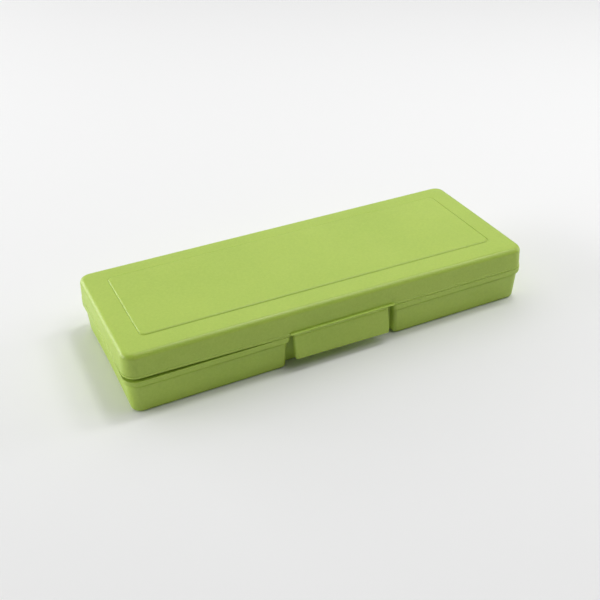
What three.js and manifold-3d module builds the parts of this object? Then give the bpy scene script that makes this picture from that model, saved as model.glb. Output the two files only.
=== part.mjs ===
// Ruler-length pencil case moulded in one shot of polypropylene.
// A base tray and a lid are joined at the back by a thin living hinge, and a latch flap
// hangs from the lid's front edge by a second one and snaps under a ledge on the base.
// The flap slants outwards, so that a fingertip can get behind its lower edge.
// Millimetres. +Z is up, +X runs along the case, the latch is on the -Y side, and the
// origin is under the middle of the case, on the surface that it rests on.

import * as THREE from 'three';
import { mergeVertices } from 'three/addons/utils/BufferGeometryUtils.js';
import Module from 'manifold-3d';

const wasm = await Module();
wasm.setup();

// ---- Whole case ----
const LENGTH = 240; // along the rim, the longest line of the case
const WIDTH = 92; // across the rim
const HEIGHT = 35; // to the top of the lid's raised panel
const SEAM_Z = 21; // where the two halves meet
const SEAM_GAP = 0.3;
const CORNER_RADIUS = 8; // upright corners, seen from above
const SHARPEST_CORNER = 0.8;
const GREEN = 0xb5cb68;

// ---- Base tray ----
const WALL = 1.7;
const FLOOR = 2.0;
const RIM_PROUD = 1.3; // the rim band stands this far out of the wall
const RIM_HEIGHT = 3.1;
const RIM_EDGE = 0.35; // soft edge of the rim band
const BASE_DRAFT = 1.0; // the wall leans in by this much from the rim to the floor
const BASE_EDGE = 2.0; // rounded bottom edge
const FLOOR_EDGE = 1.3; // hollow edge round the floor, inside
const LIP_INSET = 2.2; // locating lip, which keeps the closed lid from sliding
const LIP_HEIGHT = 1.2;
const LIP_TAPER = 0.2;
const UNDERSIDE_DEPTH = 0.6; // shallow recess that sits over the lid panel of a case below
const UNDERSIDE_PLAY = 2;

// ---- Notch in the front of the base, where the latch flap hangs ----
const NOTCH_WIDTH = 62;
const NOTCH_DEPTH = 4.6;
const NOTCH_OUTER_RADIUS = 2.6;
const NOTCH_INNER_RADIUS = 1.2;
const NOTCH_INSIDE_RADIUS = 0.6; // the same corner on the tray's inner face

// ---- Lid ----
const LID_WALL = 1.6;
const LID_TOP = 1.7;
const LID_INSET = 0.3; // the lid's lower edge stands back this far from the rim band
const LID_BEAD_HEIGHT = 1.3; // slim bead along the lower edge
const LID_BEAD_PROUD = 0.25;
const LID_DRAFT = 0.8;
const LID_EDGE = 3.2; // rounded top edge
const LID_STRAIGHT = 2.4; // upright stretch inside, around the locating lip
const PANEL_LENGTH = 209;
const PANEL_WIDTH = 60;
const PANEL_RADIUS = 3;
const PANEL_HEIGHT = 0.45;
const PANEL_SLOPE = 0.35;

// ---- Latch flap ----
const FLAP_WIDTH = 57.2;
const FLAP_LENGTH = 14.9; // from its top edge to its bottom edge
const FLAP_FLARE = 2.2; // its bottom edge stands this much further out than its top edge
const FLAP_THICK = 1.5;
const FLAP_PROUD = 0.7; // its face stands this far out of the rim band
const FLAP_RADIUS = 1.8;
const FLAP_BEVEL = 0.3;
const CATCH_WIDTH = 44; // the hook on the flap and the ledge on the base
const HOOK_REACH = 2.4; // from the top of the flap's inner face
const HOOK_HEIGHT = 2.0;
const CATCH_OVERLAP = 0.6; // how far the hook reaches under the ledge
const CATCH_PLAY = 0.4; // between the hook and the ledge
const LEDGE_HEIGHT = 2.6;
const LEDGE_NOSE = 0.7; // blunt front face of the ledge

// ---- Living hinges ----
const WEB_THICK = 0.45; // of either web
const REAR_WEB_LENGTH = 204;
const REAR_WEB_STANDOFF = 0.25; // middle of the web's bend, behind the rim band
const REAR_WEB_RADIUS = 0.7;
const LATCH_WEB_RADIUS = 0.55;
const LATCH_WEB_PROUD = 0.25; // the bend stands this far out of the flap's face
const LATCH_WEB_RISE = 1.05; // middle of the web's bend, above the seam
const LATCH_WEB_DROP = 1.0; // straight stretch of the web below the bend
const LATCH_AXIS_RISE = 0.8; // the flap turns about a line this far above the seam
const LATCH_AXIS_IN = 0.15; // and this far behind the flap's face
const CLEARANCE = 0.3; // kept between neighbouring pieces

const CORNER_STEPS = 7;
const NOTCH_STEPS = 5;
const EDGE_STEPS = 4;

// ---- Outlines, seen from above and counter-clockwise ----

// Rounds the right-angled corners [x, y, radius, steps] of a closed path.
function roundedPath(corners) {
  const points = [];
  corners.forEach(([x, y, radius, steps], index) => {
    const corner = new THREE.Vector2(x, y);
    const [beforeX, beforeY] = corners[(index + corners.length - 1) % corners.length];
    const [afterX, afterY] = corners[(index + 1) % corners.length];
    const back = new THREE.Vector2(beforeX, beforeY).sub(corner).normalize();
    const on = new THREE.Vector2(afterX, afterY).sub(corner).normalize();
    for (let step = 0; step <= steps; step++) {
      const angle = (step / steps) * (Math.PI / 2);
      points.push(corner.clone()
        .addScaledVector(back, radius * (1 - Math.sin(angle)))
        .addScaledVector(on, radius * (1 - Math.cos(angle))));
    }
  });
  return points;
}

function roundedRectangle(length, width, radius) {
  const x = length / 2;
  const y = width / 2;
  return roundedPath([[-x, y], [-x, -y], [x, -y], [x, y]]
    .map(([cornerX, cornerY]) => [cornerX, cornerY, radius, CORNER_STEPS]));
}

function cornerRadius(inset) {
  return Math.max(CORNER_RADIUS - inset, SHARPEST_CORNER);
}

function lidOutline(inset) {
  return roundedRectangle(LENGTH - 2 * inset, WIDTH - 2 * inset, cornerRadius(inset));
}

// The tray's outline steps back at the middle of the front to clear the latch flap.
function trayOutline(inset, notchRadius = NOTCH_OUTER_RADIUS) {
  const x = LENGTH / 2 - inset;
  const y = WIDTH / 2 - inset;
  const round = cornerRadius(inset);
  const notchX = NOTCH_WIDTH / 2 + inset;
  const notchY = NOTCH_DEPTH - y;
  return roundedPath([
    [-x, y, round, CORNER_STEPS],
    [-x, -y, round, CORNER_STEPS],
    [-notchX, -y, notchRadius, NOTCH_STEPS],
    [-notchX, notchY, NOTCH_INNER_RADIUS, NOTCH_STEPS],
    [notchX, notchY, NOTCH_INNER_RADIUS, NOTCH_STEPS],
    [notchX, -y, notchRadius, NOTCH_STEPS],
    [x, -y, round, CORNER_STEPS],
    [x, y, round, CORNER_STEPS],
  ]);
}

// ---- Solids ----

function toSolid(geometry) {
  geometry.deleteAttribute('normal');
  geometry.deleteAttribute('uv');
  const merged = mergeVertices(geometry, 1e-4);
  return new wasm.Manifold(new wasm.Mesh({
    numProp: 3,
    vertProperties: new Float32Array(merged.attributes.position.array),
    triVerts: new Uint32Array(merged.index.array),
  }));
}

function toGeometry(solid) {
  const mesh = solid.getMesh();
  const geometry = new THREE.BufferGeometry();
  geometry.setAttribute('position', new THREE.BufferAttribute(mesh.vertProperties, 3));
  geometry.setIndex(new THREE.BufferAttribute(mesh.triVerts, 1));
  return geometry;
}

// Triangles that fill an outline, all counter-clockwise.
function fill(outline) {
  return THREE.ShapeUtils.triangulateShape(outline, []).map(([a, b, c]) => {
    const ab = outline[b].clone().sub(outline[a]);
    const ac = outline[c].clone().sub(outline[a]);
    return ab.cross(ac) > 0 ? [a, b, c] : [a, c, b];
  });
}

// A closed body through a chain of rings. The first ring is closed with a face that
// looks down and the last with one that looks up, so a chain that runs up the outside
// and down the inside makes an open tray, and the other way round makes a lid.
function loft(rings) {
  const count = rings[0].outline.length;
  const positions = rings.flatMap(({ outline, z }) => outline.flatMap(({ x, y }) => [x, y, z]));
  const triangles = [];
  for (let ring = 0; ring < rings.length - 1; ring++) {
    for (let step = 0; step < count; step++) {
      const a = ring * count + step;
      const b = ring * count + (step + 1) % count;
      triangles.push(a, b, b + count, a, b + count, a + count);
    }
  }
  const last = (rings.length - 1) * count;
  fill(rings[0].outline).forEach(([a, b, c]) => triangles.push(a, c, b));
  fill(rings.at(-1).outline).forEach(([a, b, c]) => triangles.push(last + a, last + b, last + c));
  const geometry = new THREE.BufferGeometry();
  geometry.setAttribute('position', new THREE.Float32BufferAttribute(positions, 3));
  geometry.setIndex(triangles);
  return toSolid(geometry);
}

// Quarter-round steps of an edge: how far in and how far along it has gone, from 0 to 1.
function roundEdge(steps) {
  return Array.from({ length: steps + 1 }, (_, step) => {
    const angle = (step / steps) * (Math.PI / 2);
    return [1 - Math.cos(angle), Math.sin(angle)];
  });
}

// A body with the same cross-section, drawn as [y, z] points, all along X.
function extrudeAlongX(section, length) {
  const shape = new THREE.Shape(section.map(([y, z]) => new THREE.Vector2(y, z)));
  const geometry = new THREE.ExtrudeGeometry(shape, { depth: length, bevelEnabled: false });
  geometry.applyMatrix4(new THREE.Matrix4().makeBasis(
    new THREE.Vector3(0, 1, 0), new THREE.Vector3(0, 0, 1), new THREE.Vector3(1, 0, 0)));
  geometry.translate(-length / 2, 0, 0);
  return toSolid(geometry);
}

// Points of an arc about the origin, between two angles.
function arc(radius, startAngle, endAngle, steps) {
  return Array.from({ length: steps + 1 }, (_, step) => {
    const angle = startAngle + (endAngle - startAngle) * (step / steps);
    return [radius * Math.cos(angle), radius * Math.sin(angle)];
  });
}

// ---- Base tray: floor, drafted walls, proud rim band, locating lip and latch ledge ----

function makeBaseTray() {
  const rimTop = SEAM_Z - SEAM_GAP / 2;
  const rimBottom = rimTop - RIM_HEIGHT;
  const wallFoot = RIM_PROUD + BASE_DRAFT;
  const innerTop = RIM_PROUD + WALL;
  const innerFoot = innerTop + BASE_DRAFT;
  const lipTop = rimTop + LIP_HEIGHT;
  const outside = (inset, z) => ({ outline: trayOutline(inset), z });
  const inside = (inset, z) => ({ outline: trayOutline(inset, NOTCH_INSIDE_RADIUS), z });
  const bottomEdge = roundEdge(EDGE_STEPS).reverse().map(([inward, along]) =>
    outside(wallFoot + BASE_EDGE * inward, BASE_EDGE * (1 - along)));
  const floorEdge = roundEdge(EDGE_STEPS).map(([inward, along]) =>
    inside(innerFoot + FLOOR_EDGE * inward, FLOOR + FLOOR_EDGE * (1 - along)));
  const shell = loft([
    ...bottomEdge,
    outside(RIM_PROUD, rimBottom),
    outside(RIM_EDGE, rimBottom),
    outside(0, rimBottom + RIM_EDGE),
    outside(0, rimTop - RIM_EDGE),
    outside(RIM_EDGE, rimTop),
    inside(LIP_INSET, rimTop),
    inside(LIP_INSET + LIP_TAPER, lipTop),
    inside(innerTop, lipTop),
    inside(innerTop, rimTop),
    ...floorEdge,
  ]);
  const recess = loft([0, 1].map((share) => ({
    outline: roundedRectangle(
      PANEL_LENGTH + 2 * UNDERSIDE_PLAY, PANEL_WIDTH + 2 * UNDERSIDE_PLAY,
      PANEL_RADIUS + UNDERSIDE_PLAY),
    z: UNDERSIDE_DEPTH * (2 * share - 1),
  })));
  return shell.subtract(recess).add(makeLedge());
}

// The ledge stands on the notch's back wall, with a ramp on top to let the hook slide in.
function makeLedge() {
  const nose = flapInnerY + HOOK_REACH - CATCH_OVERLAP;
  const foot = NOTCH_DEPTH + RIM_PROUD + WALL / 2 + BASE_DRAFT - WIDTH / 2;
  const low = hookTopZ + CATCH_PLAY;
  const depth = foot - nose;
  return extrudeAlongX([
    [nose, low], [foot, low], [foot, low + LEDGE_HEIGHT + depth / 2],
    [nose + LEDGE_NOSE, low + LEDGE_HEIGHT], [nose, low + LEDGE_NOSE],
  ], CATCH_WIDTH);
}

// ---- Lid: open underneath, standing on its lower edge at z = 0 ----

function makeLid() {
  const top = HEIGHT - PANEL_HEIGHT - SEAM_Z - SEAM_GAP / 2;
  const ceiling = top - LID_TOP;
  const face = LID_INSET + LID_BEAD_PROUD;
  const innerEdge = LID_EDGE - LID_WALL;
  const innerFoot = LID_INSET + LID_WALL;
  const innerHead = innerFoot + LID_DRAFT;
  const wall = (inset, z) => ({ outline: lidOutline(inset), z });
  const ceilingEdge = roundEdge(EDGE_STEPS).reverse().map(([inward, along]) =>
    wall(innerHead + innerEdge * inward, ceiling - innerEdge * (1 - along)));
  const topEdge = roundEdge(EDGE_STEPS).map(([inward, along]) =>
    wall(face + LID_DRAFT + LID_EDGE * inward, top - LID_EDGE * (1 - along)));
  const panel = (shrink, z) => ({
    outline: roundedRectangle(PANEL_LENGTH - shrink, PANEL_WIDTH - shrink, PANEL_RADIUS), z,
  });
  return loft([
    ...ceilingEdge,
    wall(innerFoot, LID_STRAIGHT),
    wall(innerFoot, 0),
    wall(LID_INSET, 0),
    wall(LID_INSET, LID_BEAD_HEIGHT - LID_BEAD_PROUD),
    wall(face, LID_BEAD_HEIGHT),
    ...topEdge,
    panel(0, top),
    panel(2 * PANEL_SLOPE, top + PANEL_HEIGHT),
  ]);
}

// ---- Latch flap: its own origin is its hinge line ----

const flapFaceY = -WIDTH / 2 - FLAP_PROUD;
const flapInnerY = flapFaceY + FLAP_THICK;
const latchAxis = new THREE.Vector3(0, flapFaceY + LATCH_AXIS_IN, SEAM_Z + LATCH_AXIS_RISE);
const latchBend = new THREE.Vector3(
  0, LATCH_WEB_RADIUS - LATCH_WEB_PROUD - LATCH_AXIS_IN, LATCH_WEB_RISE - LATCH_AXIS_RISE);
const flapTop = latchBend.z - LATCH_WEB_DROP - CLEARANCE; // below the hinge line
const flapBottom = flapTop - FLAP_LENGTH;
const hookTopZ = latchAxis.z + flapBottom + HOOK_HEIGHT;

function makeFlap() {
  const face = flapFaceY - latchAxis.y;
  const outline = roundedPath([
    [-FLAP_WIDTH / 2, flapTop, FLAP_BEVEL, 2],
    [-FLAP_WIDTH / 2, flapBottom, FLAP_RADIUS, CORNER_STEPS],
    [FLAP_WIDTH / 2, flapBottom, FLAP_RADIUS, CORNER_STEPS],
    [FLAP_WIDTH / 2, flapTop, FLAP_BEVEL, 2],
  ]);
  const plate = new THREE.ExtrudeGeometry(new THREE.Shape(outline), {
    depth: FLAP_THICK - 2 * FLAP_BEVEL,
    bevelSize: FLAP_BEVEL,
    bevelOffset: -FLAP_BEVEL,
    bevelThickness: FLAP_BEVEL,
    bevelSegments: 2,
  });
  plate.applyMatrix4(new THREE.Matrix4().makeBasis(
    new THREE.Vector3(1, 0, 0), new THREE.Vector3(0, 0, 1), new THREE.Vector3(0, -1, 0)));
  plate.translate(0, face + FLAP_THICK - FLAP_BEVEL, -flapTop);
  plate.applyMatrix4(new THREE.Matrix4().makeShear(0, 0, 0, 0, 0, FLAP_FLARE / FLAP_LENGTH));
  plate.translate(0, 0, flapTop);
  const tip = face + FLAP_THICK + HOOK_REACH;
  const root = face + FLAP_THICK / 2 - FLAP_FLARE;
  const hook = extrudeAlongX([
    [root, flapBottom + FLAP_BEVEL],
    [tip - HOOK_REACH, flapBottom + FLAP_BEVEL],
    [tip, flapBottom + HOOK_HEIGHT - LEDGE_NOSE],
    [tip, flapBottom + HOOK_HEIGHT],
    [root, flapBottom + HOOK_HEIGHT],
  ], CATCH_WIDTH);
  return toSolid(plate).add(hook);
}

// ---- Living hinges, each folded about the middle of its own bend ----

// Bends round from the rim band's back face to the lid's back face.
function makeRearWeb() {
  const spread = Math.PI * 0.45;
  return extrudeAlongX([
    ...arc(REAR_WEB_RADIUS, -spread, spread, 10),
    ...arc(REAR_WEB_RADIUS - WEB_THICK, spread, -spread, 10),
  ], REAR_WEB_LENGTH);
}

// Bends over from the foot of the lid's front face and drops to the top of the flap.
function makeLatchWeb() {
  const inside = LATCH_WEB_RADIUS - WEB_THICK;
  return extrudeAlongX([
    ...arc(LATCH_WEB_RADIUS, Math.PI / 2, Math.PI, 6),
    [-LATCH_WEB_RADIUS, -LATCH_WEB_DROP],
    [-inside, -LATCH_WEB_DROP],
    ...arc(inside, Math.PI, Math.PI / 2, 6),
  ], FLAP_WIDTH);
}

// ---- The assembly ----

const plastic = new THREE.MeshStandardMaterial({ color: GREEN, roughness: 0.5, metalness: 0 });

function makeMesh(name, solid) {
  const mesh = new THREE.Mesh(toGeometry(solid), plastic);
  mesh.name = name;
  return mesh;
}

const latch = new THREE.Group();
latch.position.copy(latchAxis);
latch.add(makeMesh('latch_flap', makeFlap()));

const latchWeb = makeMesh('latch_hinge_web', makeLatchWeb());
latchWeb.position.copy(latchBend);
latch.add(latchWeb);

const lid = makeMesh('lid_shell', makeLid());
lid.position.z = SEAM_Z + SEAM_GAP / 2;

const rearWeb = makeMesh('rear_hinge_web', makeRearWeb());
rearWeb.position.set(0, WIDTH / 2 + REAR_WEB_STANDOFF, SEAM_Z);

// The flap reaches further out in front than the rear hinge does behind.
const frontReach = FLAP_PROUD + FLAP_FLARE;
const backReach = REAR_WEB_STANDOFF + REAR_WEB_RADIUS;
const parts = [makeMesh('base_tray', makeBaseTray()), lid, rearWeb, latch];
parts.forEach((part) => {
  part.position.y += (frontReach - backReach) / 2;
});

const pencilCase = new THREE.Group();
pencilCase.add(...parts);

export default pencilCase;
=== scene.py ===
"""Looks of the green moulded pencil case: fine meshes, plastic, lights and camera.

Shapes are worked out in millimetres about the middle of the tray (+X along the case, -Y the
latch, +Z up from the floor) and moved into the frame, in metres, when a mesh is made.
"""
import math

import bmesh
import bpy
from mathutils import Matrix, Vector
from mathutils.geometry import tessellate_polygon


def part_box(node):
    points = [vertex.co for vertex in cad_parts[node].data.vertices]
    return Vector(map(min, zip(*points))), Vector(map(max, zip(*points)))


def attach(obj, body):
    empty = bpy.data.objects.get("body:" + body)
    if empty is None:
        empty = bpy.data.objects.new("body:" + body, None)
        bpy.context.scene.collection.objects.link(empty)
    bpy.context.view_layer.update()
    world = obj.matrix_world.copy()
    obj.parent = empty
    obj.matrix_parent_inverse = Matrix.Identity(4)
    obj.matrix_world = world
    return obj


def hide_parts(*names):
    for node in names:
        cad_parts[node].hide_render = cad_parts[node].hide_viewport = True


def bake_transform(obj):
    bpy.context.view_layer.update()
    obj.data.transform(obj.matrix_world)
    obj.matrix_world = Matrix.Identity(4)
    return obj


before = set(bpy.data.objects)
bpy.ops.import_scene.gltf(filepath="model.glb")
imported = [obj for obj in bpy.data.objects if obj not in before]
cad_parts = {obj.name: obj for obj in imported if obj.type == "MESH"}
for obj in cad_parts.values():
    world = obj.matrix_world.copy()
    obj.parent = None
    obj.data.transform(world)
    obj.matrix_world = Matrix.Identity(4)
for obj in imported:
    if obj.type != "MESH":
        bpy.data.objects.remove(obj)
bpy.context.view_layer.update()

MM = 0.001

tray_y = [corner[1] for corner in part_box("base_tray")]
TRAY_MIDDLE = Vector((0, sum(tray_y) / 2 / MM, 0))


def node_box(node):
    """Lowest and highest corner of a CAD node, in millimetres about the middle of the tray."""
    low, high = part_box(node)
    return Vector(low) / MM - TRAY_MIDDLE, Vector(high) / MM - TRAY_MIDDLE


def in_frame(x, y, z):
    """A point of the frame, in metres."""
    return (Vector((x, y, z)) + TRAY_MIDDLE) * MM


tray_low, tray_high = node_box("base_tray")
lid_low, lid_high = node_box("lid_shell")
flap_low, flap_high = node_box("latch_flap")
rear_low, rear_high = node_box("rear_hinge_web")
latch_web_low, latch_web_high = node_box("latch_hinge_web")

# ---- Sizes, in millimetres ----

# The case as a whole, and the seam between its halves
LENGTH = tray_high.x - tray_low.x
WIDTH = tray_high.y - tray_low.y
FRONT = tray_low.y
BACK = tray_high.y
SEAM_GAP = 0.3
LID_FOOT = lid_low.z
RIM_TOP = LID_FOOT - SEAM_GAP
CORNER_RADIUS = 8.0
SHARPEST_CORNER = 0.8

# Tray: its wall, the rim band that stands proud of it, and the locating lip inside the rim
WALL = 1.7
FLOOR = 2.0
RIM_PROUD = 1.3
RIM_HEIGHT = 3.1
RIM_EDGE = 0.15
RIM_UNDERCUT = 0.7
BASE_DRAFT = 1.0
BASE_EDGE = 2.0
FLOOR_EDGE = 1.3
LIP_INSET = 2.2
LIP_HEIGHT = 1.2
LIP_TAPER = 0.2
LIP_EDGE = 0.25

# Notch in the tray's front, where the latch flap hangs
NOTCH_WIDTH = 62.0
NOTCH_DEPTH = 4.6
NOTCH_OUTER_RADIUS = 2.6
NOTCH_INNER_RADIUS = 1.2
NOTCH_INSIDE_RADIUS = 0.6

# Shallow recess in the underside, which sits over the lid panel of a case below
UNDERSIDE_DEPTH = 0.6
UNDERSIDE_PLAY = 2.0

# Lid, with a slim bead along its foot
LID_WALL = 1.6
LID_CEILING = 1.7
LID_INSET = 0.3
LID_BEAD_HEIGHT = 1.3
LID_BEAD_PROUD = 0.25
LID_DRAFT = 0.8
LID_EDGE = 3.2
LID_STRAIGHT = 2.4

# Raised panel on the lid, with a fine groove round it and a softly rounded crest
PANEL_LENGTH = 210.5
PANEL_WIDTH = 62.0
PANEL_BACK = 1.5
PANEL_RADIUS = 3.0
PANEL_HEIGHT = 0.45
PANEL_SLOPE = 0.35
PANEL_GROOVE = 0.24
PANEL_CREST = 1.2

# Fineness of the outlines
CORNER_STEPS = 14
NOTCH_STEPS = 8
POINT_SPACING = 5.0


# ---- Camera and stage ----

CAMERA_AZIMUTH = -25.41
CAMERA_ELEVATION = 33.39
CAMERA_ROLL = -1.2
CAMERA_DISTANCE = 499.8
CAMERA_LENS = 52.29
CAMERA_SENSOR = 36.0
# The point on the case's upright middle line at this height is seen this far right of and
# above the middle of the view.
CAMERA_HEIGHT = 20.0
CAMERA_RIGHT = 3.15
CAMERA_UP = 10.54


def make_camera():
    """The camera looks at a point a little off the middle of the case."""
    azimuth = math.radians(CAMERA_AZIMUTH)
    elevation = math.radians(CAMERA_ELEVATION)
    back = Vector((
        math.sin(azimuth) * math.cos(elevation),
        -math.cos(azimuth) * math.cos(elevation),
        math.sin(elevation),
    ))
    right = Vector((0, 0, 1)).cross(back).normalized()
    up = back.cross(right)
    roll = Matrix.Rotation(math.radians(CAMERA_ROLL), 3, back)
    right = roll @ right
    up = roll @ up
    aim = TRAY_MIDDLE + Vector((0, 0, CAMERA_HEIGHT)) - right * CAMERA_RIGHT - up * CAMERA_UP
    data = bpy.data.cameras.new("camera")
    data.lens = CAMERA_LENS
    data.sensor_width = CAMERA_SENSOR
    data.clip_start = 0.01
    data.clip_end = 20
    camera = bpy.data.objects.new("camera", data)
    bpy.context.scene.collection.objects.link(camera)
    facing = Matrix((right, up, back)).transposed().to_4x4()
    camera.matrix_world = Matrix.Translation((aim + back * CAMERA_DISTANCE) * MM) @ facing
    bpy.context.scene.camera = camera


make_camera()


# ---- Outlines, seen from above and counter-clockwise ----

def rounded_path(corners):
    """Closed path round right-angled corners (x, y, radius, arc steps, steps to the next)."""
    points = []
    ends = []
    for index, (x, y, radius, steps, _) in enumerate(corners):
        corner = Vector((x, y))
        before = Vector(corners[index - 1][:2])
        after = Vector(corners[(index + 1) % len(corners)][:2])
        back = (before - corner).normalized()
        on = (after - corner).normalized()
        arc = []
        for step in range(steps + 1):
            angle = step / steps * math.pi / 2
            arc.append(corner + back * radius * (1 - math.sin(angle))
                       + on * radius * (1 - math.cos(angle)))
        ends.append(arc)
    for index, arc in enumerate(ends):
        following = ends[(index + 1) % len(ends)][0]
        straight = corners[index][4]
        points += arc
        points += [arc[-1].lerp(following, step / straight) for step in range(1, straight)]
    return points


def steps_for(length):
    return max(1, round(length / POINT_SPACING))


def corner_radius(inset):
    return max(CORNER_RADIUS - inset, SHARPEST_CORNER)


def rectangle(length, width, radius):
    """Rounded rectangle, with the same number of points whatever its size."""
    x = length / 2
    y = width / 2
    long_steps = steps_for(LENGTH)
    short_steps = steps_for(WIDTH)
    return rounded_path([
        (-x, y, radius, CORNER_STEPS, short_steps),
        (-x, -y, radius, CORNER_STEPS, long_steps),
        (x, -y, radius, CORNER_STEPS, short_steps),
        (x, y, radius, CORNER_STEPS, long_steps),
    ])


def panel_outline(grow, radius=PANEL_RADIUS):
    """Outline of the raised panel, which sits a little nearer to the hinge."""
    outline = rectangle(PANEL_LENGTH + 2 * grow, PANEL_WIDTH + 2 * grow, radius)
    return [point + Vector((0, PANEL_BACK)) for point in outline]


def lid_outline(inset):
    return rectangle(LENGTH - 2 * inset, WIDTH - 2 * inset, corner_radius(inset))


def tray_outline(inset, notch_radius=NOTCH_OUTER_RADIUS):
    """The tray steps back at the middle of its front, to clear the latch flap."""
    x = LENGTH / 2 - inset
    y = WIDTH / 2 - inset
    radius = corner_radius(inset)
    notch_x = NOTCH_WIDTH / 2 + inset
    notch_y = NOTCH_DEPTH - y
    side_steps = steps_for((LENGTH - NOTCH_WIDTH) / 2)
    return rounded_path([
        (-x, y, radius, CORNER_STEPS, steps_for(WIDTH)),
        (-x, -y, radius, CORNER_STEPS, side_steps),
        (-notch_x, -y, notch_radius, NOTCH_STEPS, 1),
        (-notch_x, notch_y, NOTCH_INNER_RADIUS, NOTCH_STEPS, steps_for(NOTCH_WIDTH)),
        (notch_x, notch_y, NOTCH_INNER_RADIUS, NOTCH_STEPS, 1),
        (notch_x, -y, notch_radius, NOTCH_STEPS, side_steps),
        (x, -y, radius, CORNER_STEPS, steps_for(WIDTH)),
        (x, y, radius, CORNER_STEPS, steps_for(LENGTH)),
    ])


def ring(outline, z):
    return [Vector((point.x, point.y, z)) for point in outline]


def inner_rings(length, width, radius, z):
    """Ever smaller rectangles that cover a flat face, so that it can be bent afterwards."""
    rings = []
    for share in (0.12, 0.3, 0.5, 0.7, 0.86, 0.97):
        shrink = share * width
        rings.append(ring(rectangle(length - shrink, width - shrink, radius * (1 - share)), z))
    return rings


def rounded_profile(corners, steps=4):
    """Open path through (inset, height, radius) corners, each rounded by its radius."""
    points = [Vector(corners[0][:2])]
    for before, corner, after in zip(corners, corners[1:], corners[2:]):
        here = Vector(corner[:2])
        radius = corner[2]
        back = (Vector(before[:2]) - here).normalized()
        on = (Vector(after[:2]) - here).normalized()
        half = back.angle(on) / 2
        if radius == 0 or half > math.radians(89):
            points.append(here)
            continue
        centre = here + (back + on).normalized() * radius / math.sin(half)
        start = here + back * radius / math.tan(half) - centre
        end = here + on * radius / math.tan(half) - centre
        turn = math.pi - 2 * half
        for step in range(steps + 1):
            share = step / steps
            points.append(centre + (start * math.sin((1 - share) * turn)
                                    + end * math.sin(share * turn)) / math.sin(turn))
    points.append(Vector(corners[-1][:2]))
    return points


# ---- Mesh making ----

def add_rings(mesh, rings, closed_start=False, closed_end=False):
    """Walls between a chain of rings; each end is closed by a flat face if asked."""
    loops = [[mesh.verts.new(point) for point in points] for points in rings]
    for lower, upper in zip(loops, loops[1:]):
        for index in range(len(lower)):
            following = (index + 1) % len(lower)
            mesh.faces.new((lower[index], lower[following], upper[following], upper[index]))
    if closed_start:
        mesh.faces.new(list(reversed(loops[0])))
    if closed_end:
        mesh.faces.new(loops[-1])


def add_flat(mesh, outer, inner, z):
    """Flat face at a height between an outer outline and an inner one."""
    outlines = [ring(outer, z), ring(inner, z)]
    verts = [mesh.verts.new(point) for points in outlines for point in points]
    for triangle in tessellate_polygon(outlines):
        mesh.faces.new([verts[index] for index in triangle])


def finish_mesh(name, mesh, change=None):
    """Object from a closed bmesh in millimetres, smooth, with its flat faces kept flat."""
    bmesh.ops.remove_doubles(mesh, verts=mesh.verts, dist=1e-4)
    bmesh.ops.recalc_face_normals(mesh, faces=mesh.faces)
    if change:
        for vert in mesh.verts:
            vert.co = change(vert.co)
    for vert in mesh.verts:
        vert.co = in_frame(*vert.co)
    for face in mesh.faces:
        face.smooth = True
    data = bpy.data.meshes.new(name)
    mesh.to_mesh(data)
    mesh.free()
    piece = bpy.data.objects.new(name, data)
    bpy.context.scene.collection.objects.link(piece)
    weighted = piece.modifiers.new("flat faces", "WEIGHTED_NORMAL")
    weighted.mode = "FACE_AREA"
    return piece


def extrusion(name, section, length, end_round, spacing=4.0):
    """Body with a closed (y, z) section along X; each end is drawn in over end_round."""
    middle = sum((Vector(point) for point in section), Vector((0, 0))) / len(section)
    size = max((Vector(point) - middle).length for point in section)
    stations = []
    for step in range(5):
        turn = step / 4 * math.pi / 2
        stations.append((-length / 2 + end_round * (1 - math.cos(turn)),
                         1 - end_round * (1 - math.sin(turn)) / size))
    inner = length / 2 - end_round
    steps = max(1, round(2 * inner / spacing))
    straight = [(inner * (2 * step / steps - 1), 1.0) for step in range(1, steps)]
    stations += straight + [(-x, scale) for x, scale in reversed(stations)]
    rings = []
    for x, scale in stations:
        drawn = [middle + (Vector(point) - middle) * scale for point in section]
        rings.append([Vector((x, y, z)) for y, z in drawn])
    mesh = bmesh.new()
    add_rings(mesh, rings, True, True)
    return finish_mesh(name, mesh)


def turned(name, profile, centre, change=None, steps=32):
    """Body of revolution about an upright line, from (radius, height) points."""
    mesh = bmesh.new()
    rings = []
    for radius, height in profile:
        turns = [2 * math.pi * step / steps for step in range(steps)]
        rings.append([Vector(centre) + Vector((radius * math.cos(turn), radius * math.sin(turn),
                                                height)) for turn in turns])
    add_rings(mesh, rings, True, True)
    return finish_mesh(name, mesh, change)


def ease(value, start, end):
    """0 before start and 1 after end, with a smooth change between them."""
    share = min(1.0, max(0.0, (value - start) / (end - start)))
    return share * share * (3 - 2 * share)


# ---- Base tray ----

LEFT_BOW = 0.7
BOW_START = 30.0
BOW_END = 6.0


def bow_tray(point):
    """The left end wall has sunk in a little between its corners, as moulded walls do."""
    reach = ease(-point.x, LENGTH / 2 - BOW_START, LENGTH / 2 - BOW_END)
    across = max(0.0, math.cos(math.pi * point.y / WIDTH)) ** 0.7
    return Vector((point.x + LEFT_BOW * reach * across, point.y, point.z))


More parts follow.
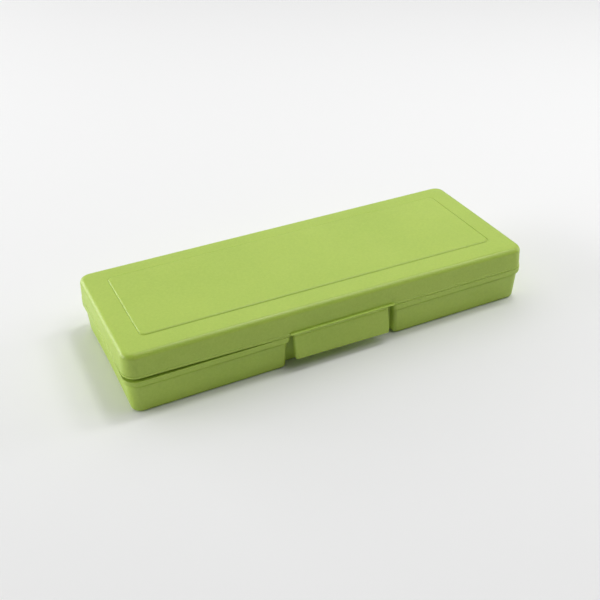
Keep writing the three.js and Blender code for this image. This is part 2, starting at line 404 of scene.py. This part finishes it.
def make_tray():
    rim_bottom = RIM_TOP - RIM_HEIGHT
    wall_foot = RIM_PROUD + BASE_DRAFT
    inner_top = RIM_PROUD + WALL
    inner_foot = inner_top + BASE_DRAFT
    lip_top = RIM_TOP + LIP_HEIGHT
    outside = rounded_profile([
        (wall_foot + BASE_EDGE + 0.4, 0, 0),
        (wall_foot, 0, BASE_EDGE),
        (RIM_PROUD, rim_bottom - 2 * RIM_UNDERCUT, 0.6),
        (RIM_PROUD + RIM_UNDERCUT, rim_bottom, 0.3),
        (0, rim_bottom, RIM_EDGE),
        (0, RIM_TOP, RIM_EDGE),
        (RIM_EDGE + 0.2, RIM_TOP, 0),
    ], steps=6)
    inside = rounded_profile([
        (LIP_INSET - 0.4, RIM_TOP, 0),
        (LIP_INSET, RIM_TOP, 0.15),
        (LIP_INSET + LIP_TAPER, lip_top, LIP_EDGE),
        (inner_top, lip_top, LIP_EDGE),
        (inner_foot, FLOOR, FLOOR_EDGE),
        (inner_foot + 2 * FLOOR_EDGE, FLOOR, 0),
    ])
    rings = [ring(tray_outline(inset), z) for inset, z in outside]
    rings += [ring(tray_outline(inset, NOTCH_INSIDE_RADIUS), z) for inset, z in inside]
    mesh = bmesh.new()
    add_rings(mesh, rings, closed_end=True)
    recess = rounded_profile([(0, 0, 0), (0.1, 0, 0.05), (0.4, UNDERSIDE_DEPTH, 0.2),
                              (1.5, UNDERSIDE_DEPTH, 0)])
    radius = PANEL_RADIUS + UNDERSIDE_PLAY
    hollow = [panel_outline(UNDERSIDE_PLAY - inset, radius) for inset, _ in recess]
    add_flat(mesh, tray_outline(outside[0].x), hollow[0], 0)
    add_rings(mesh, [ring(outline, z) for outline, (_, z) in zip(hollow, recess)],
              closed_end=True)
    tray = finish_mesh("moulded_tray", mesh, bow_tray)
    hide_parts("base_tray")
    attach(tray, "base")
    return tray


# ---- Lid ----

# Lift of the top's front edge at its left end, middle and right end
LID_FRONT_LIFT = (1.35, 0.5, -1.3)
# Lift of the foot at the left front corner, which dies out this far from the case's middle
LID_FOOT_LIFT = 1.5
LID_FOOT_CLOSED = 37.0
# The rest of the foot sinks on to the rim by this much
LID_FOOT_DROP = 0.26
# Each end leans out by this much at the top
LID_SPREAD = 0.7


def settle_lid(point):
    """The closed lid is slightly twisted.

    Its front stands off the rim between the latch and the left corner, its top falls
    towards the right end of the front, and its ends lean out a little.
    """
    forward = min(1.0, max(0.0, (BACK - point.y) / WIDTH))
    along = 2 * point.x / LENGTH
    left, middle, right = LID_FRONT_LIFT
    top_lift = (middle * (1 - along * along) + left * along * (along - 1) / 2
                + right * along * (along + 1) / 2) * forward ** 1.5
    opening = max(0.0, (-point.x - LID_FOOT_CLOSED) / (LENGTH / 2 - LID_FOOT_CLOSED))
    foot_lift = LID_FOOT_LIFT * opening * forward
    foot_drop = LID_FOOT_DROP * ease(point.x, -LENGTH / 4, -LID_FOOT_CLOSED)
    height = (point.z - LID_FOOT) / (lid_high.z - LID_FOOT)
    lift = height * top_lift + (1 - height) * (foot_lift - foot_drop)
    end = ease(abs(point.x), PANEL_LENGTH / 2, LENGTH / 2 - LID_EDGE)
    spread = math.copysign(LID_SPREAD * end * height, point.x)
    return Vector((point.x + spread, point.y, point.z + lift))


def make_lid():
    top = lid_high.z - PANEL_HEIGHT
    ceiling = top - LID_CEILING
    face = LID_INSET + LID_BEAD_PROUD
    bead_top = LID_FOOT + LID_BEAD_HEIGHT
    inner_foot = LID_INSET + LID_WALL
    lean = LID_DRAFT / (top - LID_EDGE - bead_top)
    outer_head = face + lean * (top - bead_top)
    inner_head = inner_foot + lean * (ceiling - LID_FOOT - LID_STRAIGHT)
    profile = rounded_profile([
        (inner_head + LID_EDGE, ceiling, 0),
        (inner_head, ceiling, LID_EDGE - LID_WALL),
        (inner_foot, LID_FOOT + LID_STRAIGHT, 4.0),
        (inner_foot, LID_FOOT, 0.2),
        (LID_INSET, LID_FOOT, 0.15),
        (LID_INSET, bead_top, 0.2),
        (face, bead_top + 0.1, 0.15),
        (outer_head, top, LID_EDGE),
        (outer_head + 2 * LID_EDGE, top, 0),
    ], steps=6)
    step = rounded_profile([
        (-1.6, top, 0),
        (-0.45, top, 0.1),
        (-0.2, top - PANEL_GROOVE, 0.08),
        (PANEL_SLOPE, top + PANEL_HEIGHT, PANEL_CREST),
        (2.0, top + PANEL_HEIGHT, 0),
    ], steps=6)
    start = profile[0].x
    rings = list(reversed(inner_rings(LENGTH - 2 * start, WIDTH - 2 * start, 1.0, ceiling)))
    rings += [ring(lid_outline(inset), z) for inset, z in profile]
    rings += [ring(panel_outline(-inset), z) for inset, z in step]
    rings += [[point + Vector((0, PANEL_BACK, 0)) for point in inner] for inner in
              inner_rings(PANEL_LENGTH - 4, PANEL_WIDTH - 4, PANEL_RADIUS, top + PANEL_HEIGHT)]
    mesh = bmesh.new()
    add_rings(mesh, rings, True, True)
    lid = finish_mesh("moulded_lid", mesh, settle_lid)
    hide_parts("lid_shell")
    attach(lid, "lid")
    return lid


# ---- Latch flap with its hook, and the ledge that it snaps under ----

FLAP_PROUD = 0.7
FLAP_FACE = FRONT - FLAP_PROUD
FLAP_TOP = flap_high.z + 0.5
FLAP_RADIUS = 1.6
FLAP_TOP_RADIUS = 0.5
FLAP_THICK = 1.5
FLAP_FRONT_EDGE = 0.9
FLAP_BACK_EDGE = 0.3
# How the flap hangs: moved to the left, drooping, sprung out at its foot, and short of the
# CAD's foot
FLAP_SIDEWAYS = 1.3
FLAP_TILT = 0.6
FLAP_SPRING = 0.3
FLAP_SHORT = 0.7
# The catch: a hook on the flap, under a ledge on the tray
CATCH_WIDTH = 44.0
HOOK_HEIGHT = 2.0
CATCH_OVERLAP = 0.6
CATCH_PLAY = 0.4
LEDGE_HEIGHT = 2.6
LEDGE_NOSE = 0.7


def flap_outline(inset):
    """The flap seen from the front, as (x, z) points."""
    x = flap_high.x - inset
    low = flap_low.z + FLAP_SHORT + inset
    high = FLAP_TOP - inset
    low_radius = FLAP_RADIUS - inset
    wide_steps = steps_for(2 * flap_high.x)
    tall_steps = steps_for(flap_high.z - flap_low.z)
    return rounded_path([
        (-x, high, FLAP_TOP_RADIUS, 4, tall_steps),
        (-x, low, low_radius, CORNER_STEPS, wide_steps),
        (x, low, low_radius, CORNER_STEPS, tall_steps),
        (x, high, FLAP_TOP_RADIUS, 4, wide_steps),
    ])


def slant_flap(point):
    """The flap slants outwards, hangs a little to the left and droops at its right end."""
    share = (FLAP_TOP - point.z) / (FLAP_TOP - flap_low.z)
    out = (FLAP_FACE - flap_low.y + FLAP_SPRING) * share
    droop = FLAP_TILT * share * point.x / flap_high.x
    return Vector((point.x - FLAP_SIDEWAYS, point.y - out, point.z - droop))


def make_flap():
    inner = FLAP_FACE + FLAP_THICK
    profile = rounded_profile([
        (2.0, inner, 0),
        (0, inner, FLAP_BACK_EDGE),
        (0, FLAP_FACE, FLAP_FRONT_EDGE),
        (2.0, FLAP_FACE, 0),
    ])
    mesh = bmesh.new()
    add_rings(mesh, [[Vector((x, y, z)) for x, z in flap_outline(inset)]
                     for inset, y in profile], True, True)
    flap = finish_mesh("latch_tab", mesh, slant_flap)
    tip = flap_high.y
    root = flap_low.y - FLAP_SPRING + FLAP_THICK * 0.6
    hook_foot = flap_low.z + FLAP_SHORT + 0.5
    hook_top = flap_low.z + HOOK_HEIGHT
    hook = extrusion("latch_hook", rounded_profile([
        (root, hook_foot, 0),
        (tip - 2.4, hook_foot, 0.4),
        (tip, hook_top - LEDGE_NOSE, 0.2),
        (tip, hook_top, 0.2),
        (root, hook_top, 0),
    ]), CATCH_WIDTH, 0.3)
    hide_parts("latch_flap")
    for piece in (flap, hook):
        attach(piece, "latch")
    return [flap, hook]


def make_ledge():
    nose = flap_high.y - CATCH_OVERLAP
    foot = FRONT + NOTCH_DEPTH + RIM_PROUD + WALL / 2 + BASE_DRAFT
    low = flap_low.z + HOOK_HEIGHT + CATCH_PLAY
    ledge = extrusion("latch_ledge", rounded_profile([
        (foot, low, 0),
        (nose, low, 0.2),
        (nose, low + LEDGE_NOSE, 0.3),
        (nose + LEDGE_NOSE, low + LEDGE_HEIGHT, 0.5),
        (foot, low + LEDGE_HEIGHT + (foot - nose) / 2, 0),
    ]), CATCH_WIDTH, 0.4)
    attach(ledge, "base")
    return ledge


# ---- Living hinges: thin webs between the tray and the lid, and between the lid's ridge and the flap ----

WEB_THICK = 0.42
WEB_EMBED = 0.25
REAR_WEB_HALF = 0.52
RIDGE_HEIGHT = 0.85
NECK_THICK = 0.4


def make_rear_web():
    """Folds behind the rim, from the tray's band to the foot of the lid."""
    outer = rear_high.y
    middle = (rear_low.z + rear_high.z) / 2
    roots = BACK - WEB_EMBED
    high = middle + REAR_WEB_HALF
    low = middle - REAR_WEB_HALF
    inner = outer - WEB_THICK
    section = rounded_profile([
        (roots, low, 0),
        (outer, low, REAR_WEB_HALF * 0.95),
        (outer, high, REAR_WEB_HALF * 0.95),
        (roots - LID_INSET, high, 0),
        (roots - LID_INSET, high - WEB_THICK * 0.6, 0),
        (inner, high - WEB_THICK * 0.6, 0.15),
        (inner, low + WEB_THICK * 0.6, 0.15),
        (roots, low + WEB_THICK * 0.6, 0),
    ], steps=6)
    web = extrusion("rear_living_hinge", section, rear_high.x - rear_low.x, 0.15)
    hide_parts("rear_hinge_web")
    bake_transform(web)
    return web


def make_latch_ridge():
    """A ridge along the foot of the lid's front face, as wide as the notch below it."""
    outer = latch_web_low.y
    top = latch_web_high.z
    root = FRONT + LID_INSET + 0.6
    section = rounded_profile([
        (root, top, 0),
        (outer, top, 0.35),
        (outer, top - RIDGE_HEIGHT, 0.25),
        (root, top - RIDGE_HEIGHT, 0),
    ], steps=6)
    ridge = extrusion("latch_ridge", section, NOTCH_WIDTH + 0.8, 0.3)
    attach(ridge, "lid")
    return ridge


def make_latch_web():
    """A thin neck from the ridge on the lid down to the flap."""
    neck_top = latch_web_high.z - RIDGE_HEIGHT / 2
    ridge_foot = latch_web_high.z - RIDGE_HEIGHT
    neck_front = FLAP_FACE + 0.1
    neck_back = neck_front + NECK_THICK
    section = [
        (neck_back, neck_top),
        (neck_front, neck_top),
        (neck_front, ridge_foot),
        (neck_front, (ridge_foot + FLAP_TOP) / 2),
        (neck_front, FLAP_TOP - 0.6),
        (neck_back, FLAP_TOP - 0.6),
        (neck_back, (ridge_foot + FLAP_TOP) / 2),
        (neck_back, ridge_foot),
    ]
    web = extrusion("latch_living_hinge", section, flap_high.x - flap_low.x - 1.0, 0.1)
    for vert in web.data.vertices:
        vert.co.x -= FLAP_SIDEWAYS * MM
    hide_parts("latch_hinge_web")
    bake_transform(web)
    return web


# ---- Marks that moulding leaves ----

MARK_RADIUS = 3.2
MARK_RISE = 0.07
MARK_COLUMN = LENGTH * 0.37
MARK_ROW = WIDTH * 0.27


def make_marks():
    """Faint discs where the ejector pins pushed, and the stub of the gate underneath."""
    disc = [(0.2, -0.2), (MARK_RADIUS, -0.2), (MARK_RADIUS, MARK_RISE * 0.5),
            (MARK_RADIUS - 0.12, MARK_RISE), (0.2, MARK_RISE)]
    pieces = []
    for column in (-1, 0, 1):
        for row in (-1, 1):
            x = column * MARK_COLUMN
            y = row * MARK_ROW
            place = f"{column + 1}_{(row + 1) // 2}"
            floor_mark = turned(f"tray_pin_mark_{place}", disc, (x, y, FLOOR))
            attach(floor_mark, "base")
            hung = [(radius, -height) for radius, height in disc]
            ceiling = lid_high.z - PANEL_HEIGHT - LID_CEILING
            lid_mark = turned(f"lid_pin_mark_{place}", hung, (x, y, ceiling), settle_lid)
            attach(lid_mark, "lid")
            pieces += [floor_mark, lid_mark]
    stub = turned("gate_stub", [(0.1, 0.2), (3.0, 0.2), (2.9, -0.08), (1.0, -0.1), (0.75, -0.35),
                                (0.1, -0.38)], (0, 0, UNDERSIDE_DEPTH))
    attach(stub, "base")
    return pieces + [stub]


# ---- Plastic ----

GREEN = (0.455, 0.61, 0.088)
GREEN_DEEP = (0.395, 0.555, 0.07)
WHITENED = (0.52, 0.67, 0.15)


def wire(tree, source, target):
    tree.links.new(source, target)


def noise_node(tree, coords, scale, detail=3.0, roughness=0.5):
    texture = tree.nodes.new("ShaderNodeTexNoise")
    texture.inputs["Scale"].default_value = scale
    texture.inputs["Detail"].default_value = detail
    texture.inputs["Roughness"].default_value = roughness
    wire(tree, coords, texture.inputs["Vector"])
    return texture.outputs["Fac"]


def range_node(tree, value, low, high, to_low, to_high):
    mapped = tree.nodes.new("ShaderNodeMapRange")
    for name, number in (("From Min", low), ("From Max", high), ("To Min", to_low),
                         ("To Max", to_high)):
        mapped.inputs[name].default_value = number
    wire(tree, value, mapped.inputs["Value"])
    return mapped.outputs["Result"]


def math_node(tree, operation, first, second):
    node = tree.nodes.new("ShaderNodeMath")
    node.operation = operation
    for socket, value in zip(node.inputs, (first, second)):
        if isinstance(value, (int, float)):
            socket.default_value = value
        else:
            wire(tree, value, socket)
    return node.outputs["Value"]


def make_plastic(name, pale_fold=False):
    """Polypropylene: satin on flat tops, finely eroded texture on the upright walls."""
    material = bpy.data.materials.new(name)
    material.use_nodes = True
    tree = material.node_tree
    shader = tree.nodes["Principled BSDF"]
    coordinates = tree.nodes.new("ShaderNodeTexCoord")
    coords = coordinates.outputs["Object"]

    cloud = noise_node(tree, coords, 22, 2.0)
    mottle = noise_node(tree, coords, 700, 3.0, 0.7)
    tone = math_node(tree, "ADD", math_node(tree, "MULTIPLY", cloud, 0.4),
                     math_node(tree, "MULTIPLY", mottle, 0.6))
    mix = tree.nodes.new("ShaderNodeMix")
    mix.data_type = "RGBA"
    wire(tree, range_node(tree, tone, 0.35, 0.65, 0.0, 1.0), mix.inputs["Factor"])
    mix.inputs["A"].default_value = (*GREEN_DEEP, 1)
    mix.inputs["B"].default_value = (*GREEN, 1)
    colour = mix.outputs["Result"]
    if pale_fold:
        streak = noise_node(tree, coords, 160, 4.0, 0.7)
        whiten = tree.nodes.new("ShaderNodeMix")
        whiten.data_type = "RGBA"
        wire(tree, range_node(tree, streak, 0.35, 0.75, 0.1, 0.5), whiten.inputs["Factor"])
        wire(tree, colour, whiten.inputs["A"])
        whiten.inputs["B"].default_value = (*WHITENED, 1)
        colour = whiten.outputs["Result"]
    wire(tree, colour, shader.inputs["Base Color"])

    split = tree.nodes.new("ShaderNodeSeparateXYZ")
    wire(tree, coordinates.outputs["Normal"], split.inputs["Vector"])
    upright = math_node(tree, "ABSOLUTE", split.outputs["Z"], 0.0)
    wall = range_node(tree, upright, 0.35, 0.9, 1.0, 0.0)

    sheen = noise_node(tree, coords, 60, 3.0)
    rough = math_node(tree, "ADD", range_node(tree, sheen, 0.3, 0.7, 0.31, 0.38),
                      math_node(tree, "MULTIPLY", wall, 0.07))
    wire(tree, rough, shader.inputs["Roughness"])

    grain = noise_node(tree, coords, 1500, 2.0, 0.6)
    ripple = noise_node(tree, coords, 45, 1.0)
    grain_height = math_node(tree, "MULTIPLY", grain,
                             range_node(tree, wall, 0.0, 1.0, 0.25, 1.0))
    fine = tree.nodes.new("ShaderNodeBump")
    fine.inputs["Strength"].default_value = 0.5
    fine.inputs["Distance"].default_value = 0.0002
    wire(tree, grain_height, fine.inputs["Height"])
    broad = tree.nodes.new("ShaderNodeBump")
    broad.inputs["Strength"].default_value = 0.5
    broad.inputs["Distance"].default_value = 0.0004
    wire(tree, ripple, broad.inputs["Height"])
    wire(tree, fine.outputs["Normal"], broad.inputs["Normal"])
    wire(tree, broad.outputs["Normal"], shader.inputs["Normal"])

    shader.inputs["IOR"].default_value = 1.49
    shader.inputs["Specular IOR Level"].default_value = 0.5
    shader.inputs["Subsurface Weight"].default_value = 0.08
    shader.inputs["Subsurface Radius"].default_value = (0.5, 1.0, 0.2)
    shader.inputs["Subsurface Scale"].default_value = 0.0012
    return material


# ---- Stage and light ----

def make_stage():
    mesh = bmesh.new()
    bmesh.ops.create_grid(mesh, x_segments=1, y_segments=1, size=6.0)
    data = bpy.data.meshes.new("floor")
    mesh.to_mesh(data)
    mesh.free()
    floor = bpy.data.objects.new("floor", data)
    bpy.context.scene.collection.objects.link(floor)
    paper = bpy.data.materials.new("pale_floor")
    paper.use_nodes = True
    shader = paper.node_tree.nodes["Principled BSDF"]
    shader.inputs["Base Color"].default_value = (0.9, 0.9, 0.9, 1)
    shader.inputs["Roughness"].default_value = 0.9
    data.materials.append(paper)


def make_softbox(name, place, aim, size, brightness):
    """A soft light of a given surface brightness; white paper in front of it reads near 1."""
    width, height = size
    data = bpy.data.lights.new(name, "AREA")
    data.shape = "RECTANGLE"
    data.size = width
    data.size_y = height
    data.energy = math.pi * width * height * brightness
    light = bpy.data.objects.new(name, data)
    bpy.context.scene.collection.objects.link(light)
    light.location = place
    light.rotation_mode = "QUATERNION"
    light.rotation_quaternion = (Vector(aim) - Vector(place)).to_track_quat("-Z", "Y")


def make_lights():
    make_softbox("softbox_key", (0.42, -0.42, 1.2), (0, 0, 0), (0.5, 0.35), 3.4)
    make_softbox("softbox_edge_left", (0.32, 0.06, 1.25), (0, 0, 0), (0.2, 0.2), 20.0)
    make_softbox("softbox_edge_right", (0.75, 0, 1.1), (0, 0, 0), (0.25, 0.25), 11.0)
    make_softbox("softbox_above", (0, 0.55, 1.2), (0, 0, 0), (1.6, 1.0), 1.0)
    make_softbox("softbox_back", (0.5, 1.3, 0.75), (0, 0, 0.1), (2.4, 0.9), 0.65)
    make_softbox("softbox_back_left", (-0.95, 1.2, 0.3), (0, 0, 0), (1.2, 0.5), 4.6)
    make_softbox("softbox_left", (-1.25, 0.4, 0.38), (0, 0, 0.02), (0.9, 0.6), 4.6)
    make_softbox("softbox_right", (1.2, -0.1, 0.42), (0, 0, 0.02), (0.5, 0.5), 3.6)
    make_softbox("softbox_front", (0.42, -0.33, 0.55), (0.08, 0, 0.02), (0.2, 0.2), 2.4)
    world = bpy.data.worlds.new("studio")
    world.use_nodes = True
    background = world.node_tree.nodes["Background"]
    background.inputs["Color"].default_value = (1, 1, 1, 1)
    background.inputs["Strength"].default_value = 0.12
    bpy.context.scene.world = world
    bpy.context.scene.view_settings.view_transform = "Standard"


# ---- Everything together ----

plastic = make_plastic("green_polypropylene")
fold_plastic = make_plastic("green_polypropylene_folded", pale_fold=True)
stiff_pieces = [make_tray(), make_lid(), make_ledge(), *make_flap(), make_latch_ridge(),
                *make_marks()]
bending_pieces = [make_rear_web(), make_latch_web()]
for piece in stiff_pieces + bending_pieces:
    piece.data.materials.append(fold_plastic if piece in bending_pieces else plastic)
make_stage()
make_lights()
